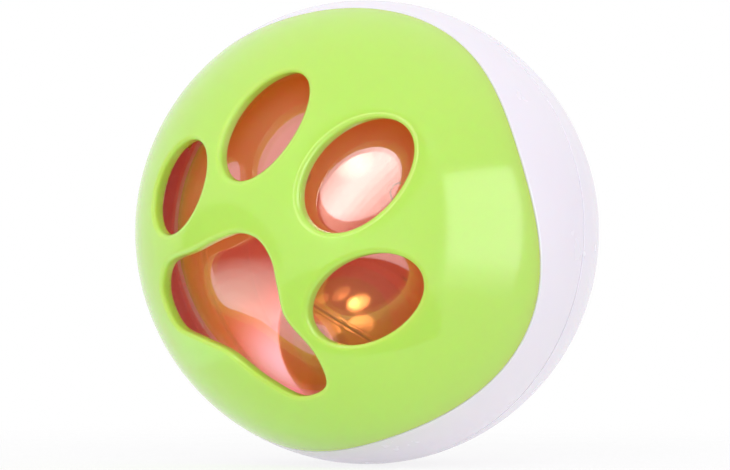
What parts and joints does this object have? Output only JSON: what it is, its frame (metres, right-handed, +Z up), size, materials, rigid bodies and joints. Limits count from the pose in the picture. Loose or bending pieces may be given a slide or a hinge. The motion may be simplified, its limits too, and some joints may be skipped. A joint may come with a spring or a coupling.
{
  "type": "electronic cat ball",
  "caption": "Hollow cat ball: a cover with paw-shaped cut-outs over a red window dome, a loose bell in its chamber, and a battery light module behind.",
  "frame": {"origin": "centre of the ball", "axes": "-Y through the middle of the paw cover, +Z up as in the picture"},
  "size_m": [0.075, 0.075, 0.075],
  "materials": {
    "green_plastic": "glossy moulded",
    "white_plastic": "glossy moulded",
    "red_window": "clear tinted",
    "inner_white": "moulded",
    "bell_brass": "polished",
    "steel": "plated",
    "board": "lacquered",
    "lamp": "clear tinted",
    "black_plastic": "moulded",
    "tan_plastic": "lacquered",
    "red_wire": "insulated"
  },
  "bodies": {
    "shell": {"front_cover": "green_plastic", "front_ring": "white_plastic", "rear_shell": "white_plastic", "inner_dome": "red_window", "chamber_back": "inner_white", "circuit_board": "board", "led_1": "lamp", "led_2": "lamp", "led_3": "lamp", "motion_switch": "steel", "control_chip": "black_plastic", "resistor": "tan_plastic", "capacitor": "black_plastic", "battery_box": "black_plastic", "cell_1": "steel", "cell_2": "steel", "cell_3": "steel", "positive_contact": "steel", "negative_spring": "steel", "switch_body": "black_plastic", "switch_lead_1": "red_wire", "switch_lead_2": "black_plastic", "chamber_screw_1": "steel", "chamber_screw_2": "steel", "chamber_screw_3": "steel", "board_screw_1": "steel", "board_screw_2": "steel", "box_screw_1": "steel", "box_screw_2": "steel"},
    "bell": {"bell_upper": "bell_brass", "bell_lower": "bell_brass"},
    "pellet": {"bell_pellet": "steel"},
    "door": {"battery_door": "white_plastic"},
    "screw": {"door_screw": "steel"},
    "knob": {"switch_knob": "black_plastic"}
  },
  "joints": [
    {"name": "bell_roll", "type": "hinge", "parent": "shell", "child": "bell", "pos_m": [0, 0, 0], "axis": [0, 1, 0], "continuous": true},
    {"name": "pellet_roll", "type": "hinge", "parent": "bell", "child": "pellet", "pos_m": [0, -0.003, -0.01622], "axis": [0, 1, 0], "continuous": true},
    {"name": "battery_door_lift", "type": "slide", "parent": "shell", "child": "door", "axis": [0, 1, 0], "range_m": [0, 0.016]},
    {"name": "door_screw_turn", "type": "hinge", "parent": "door", "child": "screw", "pos_m": [0.01665, 0, 0], "axis": [0, 1, 0], "continuous": true},
    {"name": "power_switch_slide", "type": "slide", "parent": "shell", "child": "knob", "axis": [1, 0, 0], "range_m": [-0.00125, 0.00125]}
  ]
}
